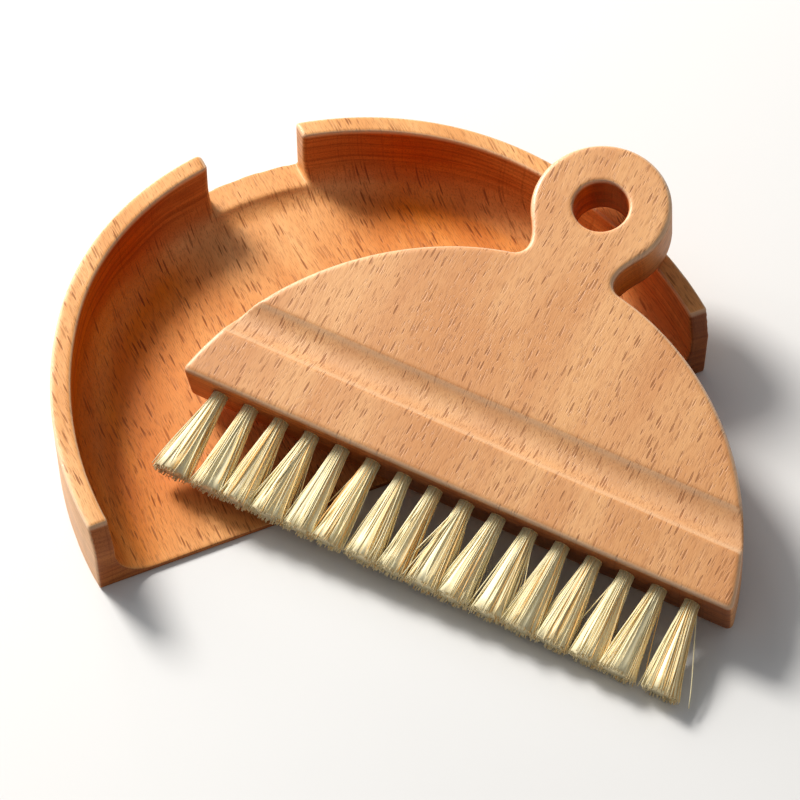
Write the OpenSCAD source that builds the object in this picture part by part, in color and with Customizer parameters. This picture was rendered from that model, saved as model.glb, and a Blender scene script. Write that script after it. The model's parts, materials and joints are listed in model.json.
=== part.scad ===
// Dust pan and brush set turned out of solid beech. The half-round pan has a wall round its back, a thin
// straight front lip and a notch for the brush's neck. The half-round brush lies askew on the pan's rim,
// with its bristle tips over the table.
//
// Frame: Z = 0 is the table. X runs along the pan's front edge and Y from the front edge to the notch.
// The origin is under the middle of the pan.

/* [Pan] */
// Depth of the pan, from the front edge to the back of the rim
pan_depth = 114; // [100:1:130]
// Height of the rim above the table
pan_height = 24; // [18:0.5:32]
// Radius of the rim's back arc
pan_crown_r = 84; // [80:1:90]
// Radius of the rim's two side arcs
pan_side_r = 122; // [110:1:135]
// Half the angle that the back arc turns through
pan_blend_angle = 57.5; // [50:0.5:62]
// Thickness of the wall at the rim
wall = 5.4; // [4:0.1:8]
// Radius of the cove between the wall and the floor
cove_r = 10.5; // [6:0.5:14]
// Thickness of the floor at the front edge
lip = 1.5; // [1:0.1:3]
// How much thicker the floor is at the back than at the front edge
floor_rise = 3.0; // [0:0.1:4]
// Width of the notch for the brush's neck
notch_w = 29; // [27:0.5:36]
// Height of the sill in the notch above the table
sill_height = 6.8; // [5.5:0.1:10]
// Height of the upright face on each front end of the wall
wall_end_height = 15.3; // [10:0.1:20]
// How far the slant above that face runs back
wall_end_slant = 3; // [1:0.5:6]

/* [Brush block] */
// Depth of the half-round board, from the bristle edge to its crown
board_depth = 71.2; // [60:0.1:85]
// Radius of the board's crown arc
board_crown_r = 76; // [72:1:85]
// Radius of the board's two side arcs
board_side_r = 87; // [86:1:100]
// Half the angle that the crown arc turns through
board_blend_angle = 25; // [20:1:40]
// Thickness of the block
board_thickness = 16; // [12:0.5:20]
// Width of the neck between the board and the loop
neck_w = 26; // [20:0.5:28]
// Radius of the fillets at both ends of the neck
neck_fillet_r = 3; // [1:0.5:4]
// Outside radius of the hanging loop
loop_r = 19.3; // [17:0.1:24]
// Distance of the loop's centre from the bristle edge
loop_reach = 91.8; // [90:0.1:100]
// Radius of the hanging hole
hang_hole_r = 7.6; // [4:0.1:10]
// Width of the finger groove
groove_w = 12; // [8:0.5:16]
// Depth of the finger groove
groove_depth = 2; // [1:0.1:4]
// Distance of the groove's middle from the bristle edge
groove_reach = 21; // [14:0.5:35]

/* [Bristles] */
// Number of tufts in the row
tuft_count = 16; // [4:1:16]
// Spacing of the tufts
tuft_pitch = 9.3; // [9.2:0.1:9.7]
// Radius of a tuft where it leaves its hole
tuft_root_r = 2.2; // [1.5:0.1:2.5]
// Radius of a tuft at its tips
tuft_tip_r = 3.4; // [3:0.1:4.4]
// How far the tufts stand out of the board
bristle_length = 26.5; // [18:0.5:36]
// How far the row lies below the board's top face
tuft_row_drop = 7; // [6:0.1:9]
// Depth of the blind tuft holes
tuft_hole_depth = 9; // [7:0.5:12]
// Outward lean of the first and the last tuft
end_lean = 5; // [0:1:8]

/* [Brush place] */
// Where the middle of the bristle edge's top lies, from the middle of the pan's front edge
brush_spot = [2, -19.9, 19.0];
// Turn of the brush about the vertical
brush_turn = -52.2; // [-60:0.1:-45]
// Slope of the brush from its bristle edge up to its loop
brush_slope = 14.1; // [14:0.1:18]
// Tilt of the brush along its bristle edge
brush_tilt = 2; // [0:0.1:2]

/* [Hidden] */
$fn = 96;

beech = [0.80, 0.55, 0.36];
cream = [0.88, 0.76, 0.52];
root_straw = [0.62, 0.52, 0.30];
zinc = [0.70, 0.71, 0.72];

past = 1;                 // how far a cutting shape runs past the faces that it cuts
free_gap = 0.3;           // gap between the board's edge and the part of a tuft that bends
drill_point_r = 0.2;      // flat left at the tip of the drill's cone
drill_point_depth = 1.2;  // height of the drill's cone
staple_w = 3.8;           // width of a staple across its hole
staple_height = 1.8;      // height of a staple along its hole
staple_thickness = 0.4;   // thickness of a staple's flat wire
staple_clearance = 0.3;   // height of the bottom of a staple above the bottom of its hole

floor_slope = atan(floor_rise / pan_depth);
hollow_rim = 40;          // width of the swept outer part of the hollow
hollow_core_inset = 20;   // distance of the hollow's plain middle part from the wall
past_middle_angle = 2;    // how far the crown's sweep runs past the middle
past_front_angle = 8;     // how far the side's sweep runs past its widest point, to clear the front edge
groove_r = (groove_w * groove_w / 4 + groove_depth * groove_depth) / (2 * groove_depth);
first_tuft_x = -tuft_pitch * (tuft_count - 1) / 2;

function tuft_name(k) = str("tuft_", k < 10 ? "0" : "", k);
function tuft_x(k) = first_tuft_x + tuft_pitch * (k - 1);
function tuft_lean(k) = k == 1 ? -end_lean : k == tuft_count ? end_lean : 0;

// Centre of an arch's right-hand side arc. It lies left of the middle, in line with the blend and the crown's centre.
function side_centre(depth, crown_r, side_r, blend_angle) = [
    -(side_r - crown_r) * sin(blend_angle),
    depth - crown_r - (side_r - crown_r) * cos(blend_angle)
];

// The outline of an arch: a crown arc that runs smoothly into two side arcs, cut straight at the front.
// inset moves all three arcs inwards.
module arch_outline(depth, crown_r, side_r, blend_angle, inset = 0, front = 0) {
    centre = side_centre(depth, crown_r, side_r, blend_angle);
    crown_y = depth - crown_r;
    blend_y = crown_y + (crown_r - inset) * cos(blend_angle);
    intersection() {
        translate([0, crown_y]) circle(crown_r - inset);
        translate([-side_r, blend_y]) square([2 * side_r, depth]);
    }
    intersection() {
        translate(centre) circle(side_r - inset);
        translate([-centre[0], centre[1]]) circle(side_r - inset);
        translate([-side_r, front]) square([2 * side_r, blend_y - front]);
    }
}

// The section of the outer part of the hollow: an upright wall above a cove that runs into a flat floor.
module hollow_section(radius) {
    height = pan_height + past;
    translate([radius - hollow_rim, 0]) square([hollow_rim - cove_r, height]);
    translate([radius - hollow_rim, cove_r]) square([hollow_rim, height - cove_r]);
    translate([radius - cove_r, cove_r]) circle(cove_r);
}

// The right half of the space inside the pan's wall, with its floor at Z = 0. It runs out past the front edge
// and a little past the middle. Both sweeps start from the plane where the crown arc and the side arc blend.
module hollow_half() {
    linear_extrude(pan_height + past) arch_outline(
        pan_depth, pan_crown_r, pan_side_r, pan_blend_angle, inset = wall + hollow_core_inset, front = -past
    );
    translate([0, pan_depth - pan_crown_r, 0]) rotate([0, 0, 90 - pan_blend_angle]) {
        rotate_extrude(angle = pan_blend_angle + past_middle_angle) hollow_section(pan_crown_r - wall);
        translate([pan_crown_r - pan_side_r, 0, 0]) mirror([0, 1, 0])
            rotate_extrude(angle = 90 - pan_blend_angle + past_front_angle) hollow_section(pan_side_r - wall);
    }
}

module pan_half() {
    intersection() {
        difference() {
            linear_extrude(pan_height) arch_outline(pan_depth, pan_crown_r, pan_side_r, pan_blend_angle);
            translate([0, 0, lip]) rotate([floor_slope, 0, 0]) hollow_half();
        }
        translate([0, -past, -past]) cube([pan_side_r, pan_depth + 2 * past, pan_height + 2 * past]);
    }
}

// The origin is under the middle of the pan, and from here on Y = 0 is the front edge.
module from_front_edge() {
    translate([0, -pan_depth / 2, 0]) children();
}

module pan() {
    color(beech) from_front_edge() difference() {
        union() {
            pan_half();
            mirror([1, 0, 0]) pan_half();
        }
        // the notch for the brush's neck
        translate([-notch_w / 2, pan_depth - wall - cove_r, sill_height])
            cube([notch_w, wall + cove_r + past, pan_height]);
        // the slant on both front ends of the wall
        translate([-pan_side_r, 0, 0]) rotate([90, 0, 90]) linear_extrude(2 * pan_side_r) polygon([
            [-past, wall_end_height],
            [0, wall_end_height],
            [wall_end_slant, pan_height],
            [wall_end_slant, pan_height + past],
            [-past, pan_height + past]
        ]);
    }
}

// The brush's own frame has its origin at the middle of the bristle edge's top, Y towards the loop and Z up.
module in_brush_place() {
    from_front_edge() translate(brush_spot)
        rotate([brush_slope, 0, brush_turn]) rotate([0, brush_tilt, 0]) children();
}

// The neck, with a fillet where it leaves the board and where it meets the loop.
module neck_outline() {
    fillet_x = neck_w / 2 + neck_fillet_r;
    crown_y = board_depth - board_crown_r;
    board_fillet_y = crown_y + sqrt(pow(board_crown_r + neck_fillet_r, 2) - fillet_x * fillet_x);
    loop_fillet_y = loop_reach - sqrt(pow(loop_r + neck_fillet_r, 2) - fillet_x * fillet_x);
    board_touch_x = fillet_x * board_crown_r / (board_crown_r + neck_fillet_r);
    loop_touch_x = fillet_x * loop_r / (loop_r + neck_fillet_r);
    inside = board_depth - neck_w / 2;
    difference() {
        union() {
            translate([-board_touch_x, inside]) square([2 * board_touch_x, board_fillet_y - inside]);
            translate([-neck_w / 2, inside]) square([neck_w, loop_reach - inside]);
            translate([-loop_touch_x, loop_fillet_y]) square([2 * loop_touch_x, loop_reach - loop_fillet_y]);
        }
        for (side = [-1, 1], y = [board_fillet_y, loop_fillet_y])
            translate([side * fillet_x, y]) circle(neck_fillet_r);
    }
}

module tuft_hole() {
    rotate([-90, 0, 0]) {
        translate([0, 0, -past]) cylinder(h = tuft_hole_depth + past, r = tuft_root_r);
        translate([0, 0, tuft_hole_depth]) cylinder(h = drill_point_depth, r1 = tuft_root_r, r2 = drill_point_r);
    }
}

module brush_block() {
    color(beech) in_brush_place() difference() {
        translate([0, 0, -board_thickness]) linear_extrude(board_thickness) {
            arch_outline(board_depth, board_crown_r, board_side_r, board_blend_angle);
            neck_outline();
            translate([0, loop_reach]) circle(loop_r);
        }
        // the hanging hole
        translate([0, loop_reach, -board_thickness - past]) cylinder(h = board_thickness + 2 * past, r = hang_hole_r);
        // the finger groove
        translate([-board_side_r, groove_reach, groove_r - groove_depth])
            rotate([0, 90, 0]) cylinder(h = 2 * board_side_r, r = groove_r);
        // the blind holes for the tufts
        for (k = [1 : tuft_count]) translate([tuft_x(k), 0, -tuft_row_drop]) tuft_hole();
    }
}

// One staple's flat wire stands across the bottom of its hole, and the tuft is folded round it.
module staple() {
    translate([-staple_w / 2, tuft_hole_depth - staple_clearance - staple_height, -staple_thickness / 2])
        cube([staple_w, staple_height, staple_thickness]);
}

module tuft_root() {
    difference() {
        rotate([-90, 0, 0]) cylinder(h = tuft_hole_depth, r = tuft_root_r);
        staple();
    }
}

module tuft_roots() {
    color(root_straw) in_brush_place()
        for (k = [1 : tuft_count]) translate([tuft_x(k), 0, -tuft_row_drop]) tuft_root();
}

module tuft_staples() {
    color(zinc) in_brush_place()
        for (k = [1 : tuft_count]) translate([tuft_x(k), 0, -tuft_row_drop]) staple();
}

// The part of a tuft that stands out of the board and bends about the centre of its round root.
module tuft(k) {
    stand_off = free_gap + tuft_root_r;
    color(cream) in_brush_place() translate([tuft_x(k), -stand_off, -tuft_row_drop])
        rotate([0, 0, tuft_lean(k)]) {
            sphere(tuft_root_r);
            rotate([90, 0, 0]) cylinder(h = bristle_length - stand_off, r1 = tuft_root_r, r2 = tuft_tip_r);
        }
}

pan();
brush_block();
tuft_roots();
tuft_staples();
for (k = [1 : tuft_count]) tuft(k);
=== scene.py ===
"""Looks of the beech dust pan and hand brush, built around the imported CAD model.

Everything is in metres in the CAD frame, except that the brush's own shape is worked out in the brush's
frame: origin at the middle of the bristle edge's top, X along the edge, Y towards the loop and Z out of
the board's top.
"""

import json
import math

import bpy
import numpy as np
from mathutils import Matrix, Vector


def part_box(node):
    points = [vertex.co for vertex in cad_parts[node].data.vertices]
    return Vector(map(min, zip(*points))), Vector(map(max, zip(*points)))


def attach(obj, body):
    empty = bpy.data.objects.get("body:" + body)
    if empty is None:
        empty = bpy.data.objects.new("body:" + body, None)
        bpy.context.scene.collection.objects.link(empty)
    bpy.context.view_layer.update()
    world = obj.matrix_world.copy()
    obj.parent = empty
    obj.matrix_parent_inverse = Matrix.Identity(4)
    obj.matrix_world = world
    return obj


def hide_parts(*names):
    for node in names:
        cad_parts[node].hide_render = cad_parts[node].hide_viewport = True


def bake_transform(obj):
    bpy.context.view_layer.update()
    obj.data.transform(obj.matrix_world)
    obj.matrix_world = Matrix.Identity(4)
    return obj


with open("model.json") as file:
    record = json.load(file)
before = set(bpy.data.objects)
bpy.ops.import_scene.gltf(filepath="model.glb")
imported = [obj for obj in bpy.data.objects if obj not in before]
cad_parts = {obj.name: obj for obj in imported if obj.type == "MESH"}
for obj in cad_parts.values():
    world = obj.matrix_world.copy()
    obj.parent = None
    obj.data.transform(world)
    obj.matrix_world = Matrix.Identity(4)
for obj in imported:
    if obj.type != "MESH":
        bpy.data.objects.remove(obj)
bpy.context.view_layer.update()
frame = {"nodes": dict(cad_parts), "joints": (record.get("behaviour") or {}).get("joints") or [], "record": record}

MM = 0.001

# ---------------------------------------------------------------------------------------------
# Sizes, which repeat the CAD's, and the eased arrises, which only the looks have
# ---------------------------------------------------------------------------------------------

PAN_CROWN_R = 84 * MM
PAN_SIDE_R = 122 * MM
PAN_BLEND = math.radians(57.5)
WALL = 5.4 * MM
COVE_R = 10.5 * MM
LIP = 1.5 * MM
FLOOR_RISE = 3.0 * MM
NOTCH_HALF = 14.5 * MM
SILL = 6.8 * MM
WALL_END_HEIGHT = 15.3 * MM
WALL_END_SLANT = 3 * MM
PAN_ARRIS = 1.0 * MM
PAN_FOOT_ARRIS = 0.6 * MM
PAN_INNER_ARRIS = 0.5 * MM
WALL_END_ARRIS = 0.5 * MM
WALL_END_SLANT_ARRIS = 0.3 * MM
NOTCH_LEFT_ARRIS = 2.2 * MM
NOTCH_RIGHT_ARRIS = 1.0 * MM
SILL_ARRIS = 0.35 * MM
SILL_FRONT_ARRIS = 0.3 * MM
PAN_VOXEL = 0.73 * MM

BOARD_DEPTH = 71.2 * MM
BOARD_CROWN_R = 76 * MM
BOARD_SIDE_R = 87 * MM
BOARD_BLEND = math.radians(25)
BOARD_THICKNESS = 16 * MM
NECK_HALF = 13 * MM
NECK_FILLET = 3 * MM
LOOP_R = 19.3 * MM
LOOP_REACH = 91.8 * MM
HANG_HOLE_R = 7.6 * MM
GROOVE_R = 10 * MM
GROOVE_DEPTH = 2 * MM
GROOVE_REACH = 21 * MM
BOARD_CORNER_R = 2.0 * MM
BOARD_ARRIS = 1.8 * MM
HANG_HOLE_ARRIS = 1.2 * MM
GROOVE_ARRIS = 0.4 * MM
TUFT_HOLE_ARRIS = 0.25 * MM
BRUSH_VOXEL = 0.6 * MM

TUFT_COUNT = 16
TUFT_PITCH = 9.3 * MM
TUFT_ROOT_R = 2.2 * MM
TUFT_ROW_DROP = 7 * MM
TUFT_HOLE_DEPTH = 9 * MM
TUFT_PIVOT = 2.5 * MM
BRISTLE_LENGTH = 26.5 * MM

pan_low, pan_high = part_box("pan")
PAN_FRONT = pan_low.y
PAN_DEPTH = pan_high.y - pan_low.y
PAN_HEIGHT = pan_high.z
PAN_BACK = pan_high.y


def brush_frame():
    """The brush's own frame, from the hanging hole's axis and the bristles' hinge."""
    hole = next(m for m in frame["record"]["mounts"] if m["name"] == "hang_hole")
    hinge = next(j for j in frame["joints"] if j["name"] == "bristle_bend")
    z = Vector(hole["axis"]).normalized()
    x = -Vector(hinge["axis"]).normalized()
    y = z.cross(x)
    origin = Vector(hinge["pos_m"]) + y * TUFT_PIVOT + z * TUFT_ROW_DROP
    matrix = Matrix((x, y, z)).transposed().to_4x4()
    matrix.translation = origin
    return matrix


BRUSH = brush_frame()

# ---------------------------------------------------------------------------------------------
# Rounded solids: a voxel mesh of the CAD piece, drawn onto a distance function with eased arrises
# ---------------------------------------------------------------------------------------------


def both(a, b, r):
    """Distance to what is inside both shapes, with the arris between them rounded to radius r."""
    inside = np.minimum(np.maximum(a, b), -r)
    return inside + np.hypot(np.maximum(a + r, 0), np.maximum(b + r, 0))


def either(a, b, r):
    """Distance to what is inside either shape, with a fillet of radius r between them."""
    outside = np.maximum(np.minimum(a, b), r)
    return outside - np.hypot(np.maximum(r - a, 0), np.maximum(r - b, 0))


def arch(x, y, depth, crown_r, side_r, blend):
    """Distance to an arch whose crown arc runs smoothly into two side arcs, without its straight front."""
    ax = np.abs(x)
    crown_y = depth - crown_r
    side_x = -(side_r - crown_r) * math.sin(blend)
    side_y = crown_y - (side_r - crown_r) * math.cos(blend)
    on_crown = ax * math.cos(blend) < (y - crown_y) * math.sin(blend)
    return np.where(on_crown, np.hypot(ax, y - crown_y) - crown_r, np.hypot(ax - side_x, y - side_y) - side_r)


def pan_distance(p):
    """Distance from points in the CAD frame to the pan with its arrises eased."""
    x, y, z = p[:, 0], p[:, 1] - PAN_FRONT, p[:, 2]
    drop = PAN_HEIGHT - WALL_END_HEIGHT
    slope_length = math.hypot(drop, WALL_END_SLANT)
    slant = (WALL_END_SLANT * (z - WALL_END_HEIGHT) - drop * y) / slope_length
    body = both(arch(x, y, PAN_DEPTH, PAN_CROWN_R, PAN_SIDE_R, PAN_BLEND), z - PAN_HEIGHT, PAN_ARRIS)
    body = both(body, -z, PAN_FOOT_ARRIS)
    body = both(body, both(-y, slant, WALL_END_SLANT_ARRIS), WALL_END_ARRIS)
    rise = math.atan(FLOOR_RISE / PAN_DEPTH)
    tilted_y = y * math.cos(rise) + (z - LIP) * math.sin(rise)
    tilted_z = (z - LIP) * math.cos(rise) - y * math.sin(rise)
    hollow = arch(x, tilted_y, PAN_DEPTH, PAN_CROWN_R, PAN_SIDE_R, PAN_BLEND) + WALL
    hollow = both(hollow, -tilted_z, COVE_R)
    body = both(body, -hollow, PAN_INNER_ARRIS)
    notch_arris = np.where(x < 0, NOTCH_LEFT_ARRIS, NOTCH_RIGHT_ARRIS)
    beside_notch = both(body, NOTCH_HALF - np.abs(x), notch_arris)
    below_notch = both(body, z - SILL, SILL_ARRIS)
    before_notch = both(body, y - PAN_DEPTH + WALL + COVE_R, SILL_FRONT_ARRIS)
    return np.minimum(beside_notch, np.minimum(below_notch, before_notch))


def brush_distance(p):
    """Distance from points in the brush's frame to the brush's wood with its arrises eased."""
    x, y, z = p[:, 0], p[:, 1], p[:, 2]
    board = arch(x, y, BOARD_DEPTH, BOARD_CROWN_R, BOARD_SIDE_R, BOARD_BLEND)
    board = both(board, -y, BOARD_CORNER_R)
    neck_low = BOARD_DEPTH - NECK_HALF
    neck = np.maximum(np.abs(x) - NECK_HALF, np.maximum(neck_low - y, y - LOOP_REACH))
    loop = np.hypot(x, y - LOOP_REACH) - LOOP_R
    outline = either(either(board, neck, NECK_FILLET), loop, NECK_FILLET)
    half = BOARD_THICKNESS / 2
    block = both(outline, np.abs(z + half) - half, BOARD_ARRIS)
    block = both(block, HANG_HOLE_R - np.hypot(x, y - LOOP_REACH), HANG_HOLE_ARRIS)
    groove = np.hypot(y - GROOVE_REACH, z - GROOVE_R + GROOVE_DEPTH) - GROOVE_R
    block = both(block, -groove, GROOVE_ARRIS)
    nearest = np.clip(np.round(x / TUFT_PITCH + (TUFT_COUNT - 1) / 2), 0, TUFT_COUNT - 1)
    hole_x = (nearest - (TUFT_COUNT - 1) / 2) * TUFT_PITCH
    hole = np.maximum(np.hypot(x - hole_x, z + TUFT_ROW_DROP) - TUFT_ROOT_R, y - TUFT_HOLE_DEPTH)
    return both(block, -hole, TUFT_HOLE_ARRIS)


PROBE = 0.02 * MM
LONGEST_MOVE = 1 * MM
LEAST_SLOPE_SQUARED = 0.25
DRAWING_ROUNDS = 5


def drawn_to(points, distance):
    """The points, moved onto the surface where the distance is nought."""
    for _ in range(DRAWING_ROUNDS):
        d = distance(points)
        slope = np.stack([
            (distance(points + offset) - distance(points - offset)) / (2 * PROBE)
            for offset in np.eye(3) * PROBE
        ], axis=1)
        size = np.maximum((slope ** 2).sum(1), LEAST_SLOPE_SQUARED)
        points = points - np.clip(d / size, -LONGEST_MOVE, LONGEST_MOVE)[:, None] * slope
    return points


def rounded_copy(node, name, voxel, distance, placed=Matrix.Identity(4)):
    """A fine copy of a CAD node with eased arrises. Its distance function works in the frame placed."""
    mesh = frame["nodes"][node].data.copy()
    mesh.transform(placed.inverted())
    piece = bpy.data.objects.new(name, mesh)
    bpy.context.scene.collection.objects.link(piece)
    remesh = piece.modifiers.new("Remesh", "REMESH")
    remesh.mode = "VOXEL"
    remesh.voxel_size = voxel
    remesh.adaptivity = 0
    graph = bpy.context.evaluated_depsgraph_get()
    fine = bpy.data.meshes.new_from_object(piece.evaluated_get(graph))
    piece.modifiers.clear()
    piece.data = fine
    fine.name = name
    points = np.empty(len(fine.vertices) * 3, np.float32)
    fine.vertices.foreach_get("co", points)
    points = drawn_to(points.reshape(-1, 3).astype(float), distance)
    fine.vertices.foreach_set("co", points.astype(np.float32).ravel())
    fine.transform(placed)
    fine.shade_smooth()
    fine.update()
    return piece


# ---------------------------------------------------------------------------------------------
# Materials
# ---------------------------------------------------------------------------------------------


class Nodes:
    """A small helper that builds one material's node tree."""

    def __init__(self, name):
        self.material = bpy.data.materials.new(name)
        self.material.use_nodes = True
        self.tree = self.material.node_tree
        self.shader = self.tree.nodes["Principled BSDF"]

    def link(self, source, socket):
        self.tree.links.new(source, socket)

    def feed(self, value, socket):
        """Links the value if it is another node's output, and sets it if it is a constant."""
        if isinstance(value, bpy.types.NodeSocket):
            self.link(value, socket)
        else:
            socket.default_value = value

    def add(self, kind, **values):
        """Adds a node. A key that names a property sets it, and any other key sets or links that input.

        Inputs go by name, or by number as i0, i1 and so on.
        """
        node = self.tree.nodes.new(kind)
        for key, value in values.items():
            if hasattr(node, key):
                setattr(node, key, value)
        for key, value in values.items():
            if hasattr(node, key):
                continue
            numbered = key[0] == "i" and key[1:].isdigit()
            self.feed(value, node.inputs[int(key[1:]) if numbered else key])
        return node

    def math(self, operation, a, b=0.0, c=0.0):
        return self.add("ShaderNodeMath", operation=operation, i0=a, i1=b, i2=c).outputs[0]

    def band(self, value, low, high, to_low=0.0, to_high=1.0):
        """A smooth step from to_low to to_high as value goes from low to high."""
        return self.add("ShaderNodeMapRange", interpolation_type="SMOOTHSTEP", clamp=True, i0=value,
                        i1=low, i2=high, i3=to_low, i4=to_high).outputs[0]

    def mix(self, share, a, b, blend="MIX"):
        """The colour a with the given share of the colour b mixed or multiplied in."""
        node = self.add("ShaderNodeMix", data_type="RGBA", blend_type=blend)
        for value, number in ((share, 0), (a, 6), (b, 7)):
            self.feed(value, node.inputs[number])
        return node.outputs[2]

    def noise(self, vector, scale=1.0, detail=2.0):
        return self.add("ShaderNodeTexNoise", Vector=vector, Scale=scale, Detail=detail)

    def stretched(self, vector, across, along, deep, shift=(0.0, 0.0, 0.0)):
        """Coordinates in which one unit is that many metres along X, Y and Z."""
        return self.add("ShaderNodeMapping", vector_type="POINT", Vector=vector, Location=shift,
                        Scale=(1 / across, 1 / along, 1 / deep)).outputs[0]


def rgb(r, g, b):
    """An opaque colour in linear light."""
    return (r, g, b, 1.0)


# each layer of flecks: width, share of the fleck length, least pick that holds a fleck, and depth of colour
FLECK_LAYERS = ((0.78 * MM, 1.0, 0.46, 1.0), (0.36 * MM, 0.5, 0.5, 0.55))
# how far the painted hollow shade looks for the object's own shelter
HOLLOW_REACH = 80 * MM


class Beech(Nodes):
    """Flat-sawn beech with its grain along Y of the frame placed. Each method adds one feature."""

    def __init__(self, name, seed, placed):
        super().__init__(name)
        turn = placed.to_euler()
        coordinates = self.add("ShaderNodeTexCoord")
        place = self.add("ShaderNodeMapping", vector_type="TEXTURE", Vector=coordinates.outputs["Object"],
                         Location=placed.translation, Rotation=turn).outputs[0]
        facing = self.add("ShaderNodeMapping", vector_type="TEXTURE", Vector=coordinates.outputs["Normal"],
                          Rotation=turn).outputs[0]
        self.facing_x, self.facing_y, self.facing_z = self.add("ShaderNodeSeparateXYZ", Vector=facing).outputs
        self.x, self.y, self.z = self.add("ShaderNodeSeparateXYZ", Vector=place).outputs
        self.steep = self.band(self.math("ABSOLUTE", self.facing_z), 0.2, 0.6, 1.0, 0.0)
        self.shift = (seed * 3.7, seed * 1.9, seed * 5.3)
        self.place = place
        self.place = self.wandered()

    def grain(self, across, along, deep, detail):
        """Noise stretched along the grain. Its cells are about across, along and deep metres."""
        return self.noise(self.stretched(self.place, across, along, deep, shift=self.shift), detail=detail)

    def stain(self, share, colour, blend="MIX"):
        self.tone = self.mix(share, self.tone, colour, blend)

    def wandered(self):
        """The coordinates, wandering a little so that no line of the pattern is quite straight."""
        wander = self.grain(30 * MM, 60 * MM, 30 * MM, detail=1.0).outputs["Color"]
        wander = self.add("ShaderNodeVectorMath", operation="SUBTRACT", i0=wander,
                          i1=(0.5, 0.5, 0.5)).outputs[0]
        wander = self.add("ShaderNodeVectorMath", operation="MULTIPLY", i0=wander,
                          i1=(5 * MM, 4 * MM, 5 * MM)).outputs[0]
        return self.add("ShaderNodeVectorMath", operation="ADD", i0=self.place, i1=wander).outputs[0]

    def growth_bands(self, light, mid):
        """Broad and narrow bands along the grain."""
        broad = self.grain(14 * MM, 110 * MM, 4 * MM, detail=3.0).outputs[0]
        narrow = self.grain(1.6 * MM, 45 * MM, 1.0 * MM, detail=3.0).outputs[0]
        self.tone = self.mix(self.band(broad, 0.35, 0.68), mid, light)
        self.stain(self.band(narrow, 0.45, 0.75, 0.0, 0.55), mid)

    def pale_groove(self):
        """The groove is sanded paler than the oiled face."""
        inside = self.math("ABSOLUTE", self.math("SUBTRACT", self.y, GROOVE_REACH))
        pale = self.math("MULTIPLY", self.band(inside, 5.6 * MM, 6.1 * MM, 0.4, 0.0),
                         self.band(self.facing_z, 0.5, 0.7))
        self.stain(pale, rgb(0.86, 0.58, 0.36))

    def fleck_layer(self, number, length):
        """Cells drawn out along the grain. Chance picks which hold a fleck, its size and its depth."""
        across, share, cut, depth = FLECK_LAYERS[number]
        shift = (self.shift[0] + 7.1 * number, self.shift[1], 0.0)
        cells = self.stretched(self.place, across, length * share, 1.0, shift=shift)
        voronoi = self.add("ShaderNodeTexVoronoi", voronoi_dimensions="2D", feature="F1", Vector=cells,
                           Scale=1.0, Randomness=0.9)
        pick = self.add("ShaderNodeSeparateColor", Color=voronoi.outputs["Color"])
        reach = self.band(pick.outputs[0], cut, 1.0, 0.02, 0.44)
        core = self.math("SUBTRACT", reach, voronoi.outputs["Distance"])
        return self.math("MULTIPLY", self.band(core, 0.0, 0.14),
                         self.band(pick.outputs[1], 0.0, 1.0, 0.45 * depth, depth))

    def ray_flecks(self, length, colour):
        """Dark dashes along the grain, broken in places and faint on steep faces."""
        flecks = self.math("MAXIMUM", self.fleck_layer(0, length), self.fleck_layer(1, length))
        breaks = self.grain(3 * MM, 8 * MM, 3 * MM, detail=1.0).outputs[0]
        flecks = self.math("MULTIPLY", flecks, self.band(breaks, 0.30, 0.50, 0.35, 1.0))
        self.flecks = self.math("MULTIPLY", flecks, self.band(self.steep, 0.0, 1.0, 1.0, 0.3))
        self.stain(self.math("MULTIPLY", self.flecks, 0.82), colour)

    def fine_pores(self, colour):
        self.pores = self.grain(0.28 * MM, 3.0 * MM, 0.4 * MM, detail=2.0).outputs[0]
        self.stain(self.band(self.pores, 0.45, 0.75, 0.0, 0.42), colour)

    def growth_rings(self):
        """Growth rings show as layered lines on steep faces."""
        rings = self.grain(60 * MM, 60 * MM, 0.9 * MM, detail=2.0).outputs[0]
        self.stain(self.math("MULTIPLY", self.steep, self.band(rings, 0.4, 0.65, 0.0, 0.6)),
                   rgb(0.62, 0.50, 0.40), "MULTIPLY")

    def oiled_ends_painted_shade(self, tray):
        """End grain drinks more oil and is darker. Painted shade also darkens the front faces, which turn away
        from the lamp, more towards the right, and the side faces a little.
        """
        end = self.band(self.math("ABSOLUTE", self.facing_y), 0.45, 0.9)
        self.stain(end, rgb(0.80, 0.54, 0.32), "MULTIPLY")
        # painted shade: faces turned to the front, away from the lamp, are darker towards the right
        front = self.band(self.math("MULTIPLY", self.facing_y, -1.0), 0.45, 0.9)
        front = self.math("MULTIPLY", front, self.band(self.x, -60 * MM, 0.0, 0.6 if tray else 0.0, 1.0))
        if tray:
            at_front = self.band(self.y, PAN_FRONT + 2 * MM, PAN_FRONT + 5 * MM, 1.0, 0.0)
            front = self.math("MULTIPLY", front, at_front)
        self.stain(front, rgb(0.56, 0.52, 0.50), "MULTIPLY")
        # painted shade: the side faces are a little darker
        side = self.band(self.math("ABSOLUTE", self.facing_x), 0.45, 0.9)
        self.stain(self.math("MULTIPLY", side, 0.4), rgb(0.74, 0.58, 0.42), "MULTIPLY")

    def painted_hollow_shade(self, tray):
        """Painted shade: the colour is made darker and deeper in hollows, where the object shades itself."""
        openness = self.add("ShaderNodeAmbientOcclusion", samples=8, only_local=True, Distance=HOLLOW_REACH)
        # painted shade mask, from how hidden each point is by the object itself
        deep = self.band(openness.outputs["AO"], 0.80, 0.93, 1.0, 0.0)
        if tray:
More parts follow.
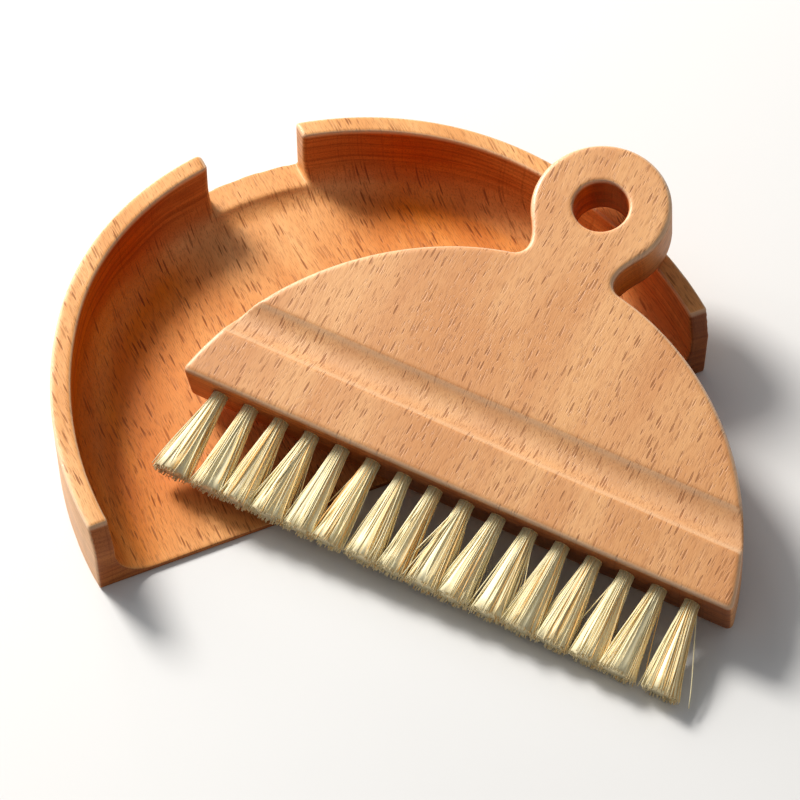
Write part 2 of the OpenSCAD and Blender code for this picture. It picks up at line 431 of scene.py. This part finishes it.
            # less so by the notch and at the right end, where the pan stands open to the light
            from_notch = self.add("ShaderNodeVectorMath", operation="DISTANCE", i0=self.place,
                                  i1=(0.0, PAN_BACK, 10 * MM))
            deep = self.math("MULTIPLY", deep, self.band(from_notch.outputs["Value"], 26 * MM, 48 * MM))
            deep = self.math("MULTIPLY", deep, self.band(self.x, 35 * MM, 75 * MM, 1.0, 0.3))
        # painted shade multiplied into the wood's colour
        self.stain(deep, rgb(1.0, 0.58, 0.03), "MULTIPLY")

    def painted_light_left_wall(self, top):
        """Painted light: the outside of the pan's left wall, on the lamp's side, is painted a little paler."""
        outside = self.math("MULTIPLY", self.band(self.facing_x, -0.75, -0.3, 1.0, 0.0),
                            self.band(self.x, -80 * MM, -30 * MM, 1.0, 0.0))
        outside = self.math("MULTIPLY", outside, self.band(self.z, 0.0, top, 0.3, 0.35))
        # painted light on the outside of the left wall
        self.stain(outside, rgb(0.97, 0.74, 0.50))

    def rubbed_and_highlit_arrises(self, top, light):
        """The arrises round the top face wear paler by handling, and are painted paler still as a painted
        highlight.
        """
        self.rubbed_highlit_arris = self.math("MULTIPLY", self.band(self.z, top - 1.7 * MM, top - 0.5 * MM),
                              self.band(self.facing_z, 0.80, 0.985, 1.0, 0.0))
        # wear plus painted highlight: the arrises are painted towards cream
        self.stain(self.math("MULTIPLY", self.rubbed_highlit_arris, 0.5), self.mix(0.6, light, rgb(0.97, 0.84, 0.66)))

    def surface(self, polish):
        """Roughness and relief: flecks and pores are matt and sunk, and the arrises that wear and carry the
        painted highlight are polished.
        """
        gloss = self.grain(9 * MM, 30 * MM, 9 * MM, detail=2.0).outputs[0]
        rough = self.band(gloss, 0.3, 0.7, 0.44, 0.58)
        rough = self.math("ADD", rough, self.math("MULTIPLY", self.flecks, 0.12))
        rough = self.math("SUBTRACT", rough, self.math("MULTIPLY", self.rubbed_highlit_arris, 0.32))
        self.link(rough, self.shader.inputs["Roughness"])
        self.shader.inputs["Specular IOR Level"].default_value = polish
        height = self.math("MULTIPLY_ADD", self.flecks, -0.7, self.math("MULTIPLY", self.pores, -0.5))
        bump = self.add("ShaderNodeBump", Strength=0.6, Distance=0.16 * MM, Height=height)
        self.link(bump.outputs[0], self.shader.inputs["Normal"])


def beech(name, light, mid, fleck_tone, seed, fleck_length, top, polish, placed=Matrix.Identity(4),
          groove=False, tray=False):
    """Oiled beech. Its top face is at the height top in the frame placed."""
    wood = Beech(name, seed, placed)
    wood.growth_bands(light, mid)
    if groove:
        wood.pale_groove()
    wood.ray_flecks(fleck_length, fleck_tone)
    wood.fine_pores(fleck_tone)
    wood.growth_rings()
    wood.oiled_ends_painted_shade(tray)
    wood.painted_hollow_shade(tray)
    if tray:
        wood.painted_light_left_wall(top)
    wood.rubbed_and_highlit_arrises(top, light)
    wood.link(wood.tone, wood.shader.inputs["Base Color"])
    wood.surface(polish)
    return wood.material


def fibre(name):
    """Plant fibre. Each strand's own tone, which carries painted light on the left of each tuft, and the share of
    its length come with the mesh.
    """
    m = Nodes(name)
    tone_value = m.add("ShaderNodeAttribute", attribute_name="tone").outputs["Fac"]
    along = m.add("ShaderNodeAttribute", attribute_name="along").outputs["Fac"]
    place = m.add("ShaderNodeTexCoord").outputs["Object"]
    streak = m.noise(m.stretched(place, 0.3 * MM, 0.3 * MM, 0.3 * MM), detail=1.0).outputs[0]
    tone_value = m.math("ADD", tone_value, m.band(streak, 0.3, 0.7, -0.12, 0.12))
    tone = m.mix(m.band(tone_value, 0.0, 0.45), rgb(0.95, 0.52, 0.14), rgb(1.0, 0.68, 0.26))
    tone = m.mix(m.band(tone_value, 0.2, 0.7), tone, rgb(1.0, 0.90, 0.60))
    root = m.band(along, 0.0, 0.22, 0.6, 0.0)
    tone = m.mix(root, tone, rgb(0.64, 0.56, 0.33))
    end = m.band(along, 0.93, 1.0, 0.0, 0.5)
    tone = m.mix(end, tone, rgb(0.62, 0.44, 0.20))
    m.link(tone, m.shader.inputs["Base Color"])
    m.link(m.band(streak, 0.3, 0.7, 0.36, 0.55), m.shader.inputs["Roughness"])
    bump = m.add("ShaderNodeBump", Strength=0.3, Distance=0.03 * MM, Height=streak)
    m.link(bump.outputs[0], m.shader.inputs["Normal"])
    m.shader.inputs["Specular IOR Level"].default_value = 0.45
    m.shader.inputs["Sheen Weight"].default_value = 0.9
    m.shader.inputs["Sheen Roughness"].default_value = 0.5
    m.shader.inputs["Sheen Tint"].default_value = rgb(1.0, 0.90, 0.66)
    return m.material


def drawn_wire(name):
    """Zinc-coated flat wire with faint drawing marks."""
    m = Nodes(name)
    place = m.add("ShaderNodeTexCoord").outputs["Object"]
    marks = m.noise(m.stretched(place, 2 * MM, 0.1 * MM, 0.1 * MM), detail=2.0).outputs[0]
    m.link(m.mix(marks, rgb(0.50, 0.51, 0.52), rgb(0.68, 0.69, 0.70)), m.shader.inputs["Base Color"])
    m.link(m.band(marks, 0.3, 0.7, 0.28, 0.45), m.shader.inputs["Roughness"])
    m.shader.inputs["Metallic"].default_value = 1.0
    bump = m.add("ShaderNodeBump", Strength=0.2, Distance=0.02 * MM, Height=marks)
    m.link(bump.outputs[0], m.shader.inputs["Normal"])
    return m.material


def table_top(name):
    """A plain pale surface with the faintest cloud in it."""
    m = Nodes(name)
    place = m.add("ShaderNodeTexCoord").outputs["Object"]
    cloud = m.noise(place, scale=6.0, detail=3.0).outputs[0]
    m.link(m.mix(cloud, rgb(0.76, 0.76, 0.76), rgb(0.80, 0.795, 0.79)), m.shader.inputs["Base Color"])
    m.shader.inputs["Roughness"].default_value = 0.55
    m.shader.inputs["Specular IOR Level"].default_value = 0.25
    return m.material


def dress(piece, material):
    """Gives the piece the material in place of any that it has."""
    piece.data.materials.clear()
    piece.data.materials.append(material)


PAN_BEECH = beech(
    "pan_beech", light=rgb(0.83, 0.45, 0.19), mid=rgb(0.71, 0.33, 0.115),
    fleck_tone=rgb(0.27, 0.085, 0.015), seed=1.0, fleck_length=7.5 * MM,
    top=PAN_HEIGHT, polish=0.4, tray=True)
BRUSH_BEECH = beech(
    "brush_beech", light=rgb(0.82, 0.445, 0.20), mid=rgb(0.69, 0.325, 0.13),
    fleck_tone=rgb(0.35, 0.13, 0.038), seed=2.0, fleck_length=5.0 * MM,
    top=0.0, polish=0.7, placed=BRUSH, groove=True)
FIBRE = fibre("bristle_fibre")
WIRE = drawn_wire("staple_wire")

# ---------------------------------------------------------------------------------------------
# Wood
# ---------------------------------------------------------------------------------------------

pan = rounded_copy("pan", "pan_wood", PAN_VOXEL, pan_distance)
dress(pan, PAN_BEECH)
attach(pan, "pan")
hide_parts("pan")

brush = rounded_copy("brush_block", "brush_wood", BRUSH_VOXEL, brush_distance, BRUSH)
dress(brush, BRUSH_BEECH)
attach(brush, "brush")
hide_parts("brush_block")

# ---------------------------------------------------------------------------------------------
# Bristles
# ---------------------------------------------------------------------------------------------

# each strand
STRANDS = 110
STRAND_RINGS = 8
STRAND_SIDES = 4
STRAND_R = 0.19 * MM
STRAND_THICKNESS = (0.75, 1.25)  # least and greatest share of STRAND_R
STRAND_TIP_TAPER = 0.8
STRAND_START = 2.0 * MM  # how deep in the wood a strand begins
STRAND_SHORTFALL = 0.5 * MM
STRAND_BOW = 0.4 * MM

# how a tuft fans out towards its tip
TIP_SPREAD = np.array([5.3 * MM, 3.7 * MM])
TIP_SPREAD_RANGE = (0.98, 1.14)
TIP_SCATTER = 0.35 * MM
FAN_CURVE = 1.08
TUFT_LEAN = 0.45 * MM
END_TUFT_LEANS = {0: -1.0 * MM, TUFT_COUNT - 1: 3.0 * MM}
STRAY_SHARE = 0.06
STRAY_REACH = 2.6 * MM
LOCKS = 9
LOCK_CLING = (0.1, 0.5)  # how far strands are drawn to their lock
HEART_SHARE = 0.35  # share of the tuft's section that the core fills
GOLDEN_ANGLE = math.pi * (3 - math.sqrt(5))

CORE_SIDES = 64
CORE_SHARE = 1.5
CORE_SHORT = 0.7 * MM
CORE_UNEVENNESS = 0.09

# mean and spread of the tones, and how much paler the left of a tuft is painted, as painted light from the lamp on
# that side
STRAND_TONE = (0.66, 0.24)
CORE_TONE = (0.76, 0.16)
PAINTED_LIGHT_ACROSS = 0.2

FIRST_SEED = 100
TABLE_CLEARANCE = 0.25 * MM
TABLE_GIVE = 0.02


def strand_paths(rng, tuft):
    """Centre lines of one tuft's strands in the brush's frame, as an array of strand, ring and coordinate."""
    middle = (TUFT_COUNT - 1) / 2
    number = np.arange(STRANDS)
    radius = np.sqrt(HEART_SHARE + (1 - HEART_SHARE) * (number + 0.5) / STRANDS)
    turn = number * GOLDEN_ANGLE + rng.uniform(0, 2 * math.pi)
    disc = np.stack([radius * np.cos(turn), radius * np.sin(turn)], axis=1)

    # strands cling together in locks
    lock_radius = np.sqrt(rng.uniform(0.05, 1.0, LOCKS))
    lock_turn = rng.uniform(0, 2 * math.pi, LOCKS)
    lock = np.stack([lock_radius * np.cos(lock_turn), lock_radius * np.sin(lock_turn)], axis=1)
    nearest = np.argmin(((disc[:, None, :] - lock[None, :, :]) ** 2).sum(2), axis=1)
    cling = rng.uniform(*LOCK_CLING, STRANDS)[:, None]
    fan = disc * (1 - cling) + lock[nearest] * cling

    spread = TIP_SPREAD * rng.uniform(*TIP_SPREAD_RANGE)
    lean = rng.normal(0, TUFT_LEAN)
    outward = END_TUFT_LEANS.get(tuft, 0.0)
    tip = fan * spread + rng.normal(0, TIP_SCATTER, (STRANDS, 2)) + np.array([lean + outward, 0])
    stray = rng.random(STRANDS) < STRAY_SHARE
    tip[stray, 0] += rng.normal(0, STRAY_REACH, stray.sum())
    root = disc * (TUFT_ROOT_R - STRAND_R)
    length = BRISTLE_LENGTH - np.abs(rng.normal(0, STRAND_SHORTFALL, STRANDS))
    bow = rng.normal(0, STRAND_BOW, (STRANDS, 2))

    # the part of each strand that is free of the wood fans out and bows
    s = np.linspace(0, 1, STRAND_RINGS)
    y = STRAND_START - s[None, :] * (length[:, None] + STRAND_START)
    free = np.clip(-y / length[:, None], 0, 1)
    across = root[:, None, :] + (tip - root)[:, None, :] * (free ** FAN_CURVE)[:, :, None]
    across = across + bow[:, None, :] * (free * (1 - free) * 4 * free)[:, :, None]
    x = (tuft - middle) * TUFT_PITCH + across[:, :, 0]
    z = -TUFT_ROW_DROP + across[:, :, 1]
    # painted light: strands on the left of the tuft are paler
    tone = np.clip(rng.normal(*STRAND_TONE, STRANDS) - PAINTED_LIGHT_ACROSS * fan[:, 0], 0, 1)
    return np.stack([x, y, z], axis=2), tone


def above_table(paths):
    """The paths, with strands that would reach the table bent along it."""
    turn = np.array(BRUSH.to_3x3())
    spot = np.array(BRUSH.translation)
    placed = paths @ turn.T + spot
    low = TABLE_CLEARANCE + STRAND_R
    height = placed[:, :, 2]
    placed[:, :, 2] = np.where(height < low, low + (height - low) * TABLE_GIVE, height)
    return (placed - spot) @ turn


def tubes(rings, offset):
    """Faces of closed tubes whose points are given by tube, ring and side, numbered from offset."""
    count, levels, sides = rings.shape[:3]
    tube, level, side = np.meshgrid(np.arange(count), np.arange(levels - 1), np.arange(sides), indexing="ij")
    base = offset + (tube * levels + level) * sides
    after = (side + 1) % sides
    quads = np.stack([base + side, base + after, base + sides + after, base + sides + side], axis=-1)
    first = offset + np.arange(count) * levels * sides
    last = first + (levels - 1) * sides
    backs = first[:, None] + np.arange(sides)[::-1][None, :]
    caps = last[:, None] + np.arange(sides)[None, :]
    return quads.reshape(-1, 4).tolist() + backs.tolist() + caps.tolist()


def strand_tubes(rng, paths):
    """Points of a thin tapered tube round each path, by tube, ring and side."""
    forward = np.gradient(paths, axis=1)
    forward /= np.linalg.norm(forward, axis=2, keepdims=True)
    side = np.cross(forward, [0.0, 0.0, 1.0])
    side /= np.linalg.norm(side, axis=2, keepdims=True)
    up = np.cross(side, forward)
    corner = np.arange(STRAND_SIDES) * 2 * math.pi / STRAND_SIDES
    twist = rng.uniform(0, 2 * math.pi, len(paths))[:, None] + corner[None, :]
    thick = STRAND_R * rng.uniform(*STRAND_THICKNESS, len(paths))
    taper = np.linspace(1.0, STRAND_TIP_TAPER, paths.shape[1])
    ring = (np.cos(twist)[:, None, :, None] * side[:, :, None, :]
            + np.sin(twist)[:, None, :, None] * up[:, :, None, :])
    return paths[:, :, None, :] + ring * (thick[:, None] * taper[None, :])[:, :, None, None]


def core_tube(rng, paths):
    """A fan-shaped core inside the strands, so that no daylight shows through the thick of a tuft."""
    centre = paths.mean(0)
    half = paths.std(0) * CORE_SHARE
    turn = np.arange(CORE_SIDES) * 2 * math.pi / CORE_SIDES
    uneven = 1 + rng.uniform(-CORE_UNEVENNESS, CORE_UNEVENNESS, CORE_SIDES)
    ring = np.repeat(centre[:, None, :], CORE_SIDES, axis=1)
    ring[:, :, 0] += half[:, 0, None] * (np.cos(turn) * uneven)[None, :]
    ring[:, :, 2] += half[:, 2, None] * (np.sin(turn) * uneven)[None, :]
    ring[-1, :, 1] += CORE_SHORT
    return ring[None]


def tuft_piece(tuft):
    """One tuft's strands and core as one mesh, with each point's tone and its share of the length."""
    rng = np.random.default_rng(FIRST_SEED + tuft)
    paths, tone = strand_paths(rng, tuft)
    paths = above_table(paths)
    outer = strand_tubes(rng, paths)
    core = core_tube(rng, paths)
    faces = tubes(outer, 0) + tubes(core, outer[..., 0].size)
    points = np.concatenate([outer.reshape(-1, 3), core.reshape(-1, 3)])

    levels = paths.shape[1]
    turn = np.arange(CORE_SIDES) * 2 * math.pi / CORE_SIDES
    # painted light: the core's left side is paler
    core_tone = np.clip(rng.normal(*CORE_TONE, CORE_SIDES) - PAINTED_LIGHT_ACROSS * np.cos(turn), 0, 1)
    tones = np.concatenate([np.repeat(tone, levels * STRAND_SIDES), np.tile(core_tone, levels)])
    along = np.clip(-points[:, 1] / BRISTLE_LENGTH, 0, 1)
    name = "bristles_%02d" % (tuft + 1)
    mesh = bpy.data.meshes.new(name)
    mesh.from_pydata(points.tolist(), [], faces)
    mesh.update()
    for label, values in (("tone", tones), ("along", along)):
        attribute = mesh.attributes.new(label, "FLOAT", "POINT")
        attribute.data.foreach_set("value", values.astype(np.float32))
    mesh.shade_smooth()
    piece = bpy.data.objects.new(name, mesh)
    bpy.context.scene.collection.objects.link(piece)
    piece.matrix_world = BRUSH
    dress(piece, FIBRE)
    return piece


for tuft in range(TUFT_COUNT):
    piece = tuft_piece(tuft)
    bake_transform(piece)
    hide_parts("tuft_%02d" % (tuft + 1))

dress(frame["nodes"]["tuft_roots"], FIBRE)
dress(frame["nodes"]["tuft_staples"], WIRE)

# ---------------------------------------------------------------------------------------------
# Floor, light and camera
# ---------------------------------------------------------------------------------------------

FLOOR_HALF = 3.0
floor_mesh = bpy.data.meshes.new("floor")
floor_mesh.from_pydata(
    [(-FLOOR_HALF, -FLOOR_HALF, 0), (FLOOR_HALF, -FLOOR_HALF, 0),
     (FLOOR_HALF, FLOOR_HALF, 0), (-FLOOR_HALF, FLOOR_HALF, 0)],
    [], [(0, 1, 2, 3)])
floor = bpy.data.objects.new("floor", floor_mesh)
bpy.context.scene.collection.objects.link(floor)
dress(floor, table_top("table_top"))

CAMERA_AZIMUTH = math.radians(-24.18)
CAMERA_ELEVATION = math.radians(51.84)
CAMERA_DISTANCE = 827.2 * MM
CAMERA_LENS = 135
SENSOR_WIDTH = 36
NEAREST_SEEN = 0.01
LOOK_AT = Vector((8.2 * MM, PAN_FRONT + 25.3 * MM, 0))


def direction(azimuth, elevation):
    """The direction from the object towards a viewer or a light."""
    return Vector((math.sin(azimuth) * math.cos(elevation),
                   -math.cos(azimuth) * math.cos(elevation),
                   math.sin(elevation)))


def aimed(data, name, away, distance):
    """A camera or light at that distance from the point looked at, in the direction away, and facing it."""
    thing = bpy.data.objects.new(name, data)
    bpy.context.scene.collection.objects.link(thing)
    thing.location = LOOK_AT + away * distance
    thing.rotation_mode = "QUATERNION"
    thing.rotation_quaternion = (-away).to_track_quat("-Z", "Y")
    return thing


camera_data = bpy.data.cameras.new("camera")
camera_data.lens = CAMERA_LENS
camera_data.sensor_width = SENSOR_WIDTH
camera_data.clip_start = NEAREST_SEEN
bpy.context.scene.camera = aimed(
    camera_data, "camera", direction(CAMERA_AZIMUTH, CAMERA_ELEVATION), CAMERA_DISTANCE)

LIGHT_DISTANCE = 1.8
LIGHT_AZIMUTH = CAMERA_AZIMUTH + math.radians(180 + 43)
KEY_ELEVATION = math.radians(38.5)
SOFT_ELEVATION = math.radians(28)


def disk_light(name, size, energy, color, elevation):
    """A round area light behind the object and to its left, as the camera sees it."""
    data = bpy.data.lights.new(name, "AREA")
    data.shape = "DISK"
    data.size = size
    data.energy = energy
    data.color = color
    aimed(data, name, direction(LIGHT_AZIMUTH, elevation), LIGHT_DISTANCE)


disk_light("key", size=0.55, energy=34, color=(1.0, 0.97, 0.92), elevation=KEY_ELEVATION)
disk_light("soft", size=1.8, energy=15, color=(1.0, 0.98, 0.95), elevation=SOFT_ELEVATION)

SKY_COLOUR = rgb(0.96, 0.98, 1.0)
SKY_STRENGTH = 0.26
world = bpy.data.worlds.new("world")
world.use_nodes = True
world.node_tree.nodes["Background"].inputs["Color"].default_value = SKY_COLOUR
world.node_tree.nodes["Background"].inputs["Strength"].default_value = SKY_STRENGTH
bpy.context.scene.world = world
bpy.context.scene.view_settings.view_transform = "Standard"
bpy.context.scene.view_settings.look = "Medium High Contrast"
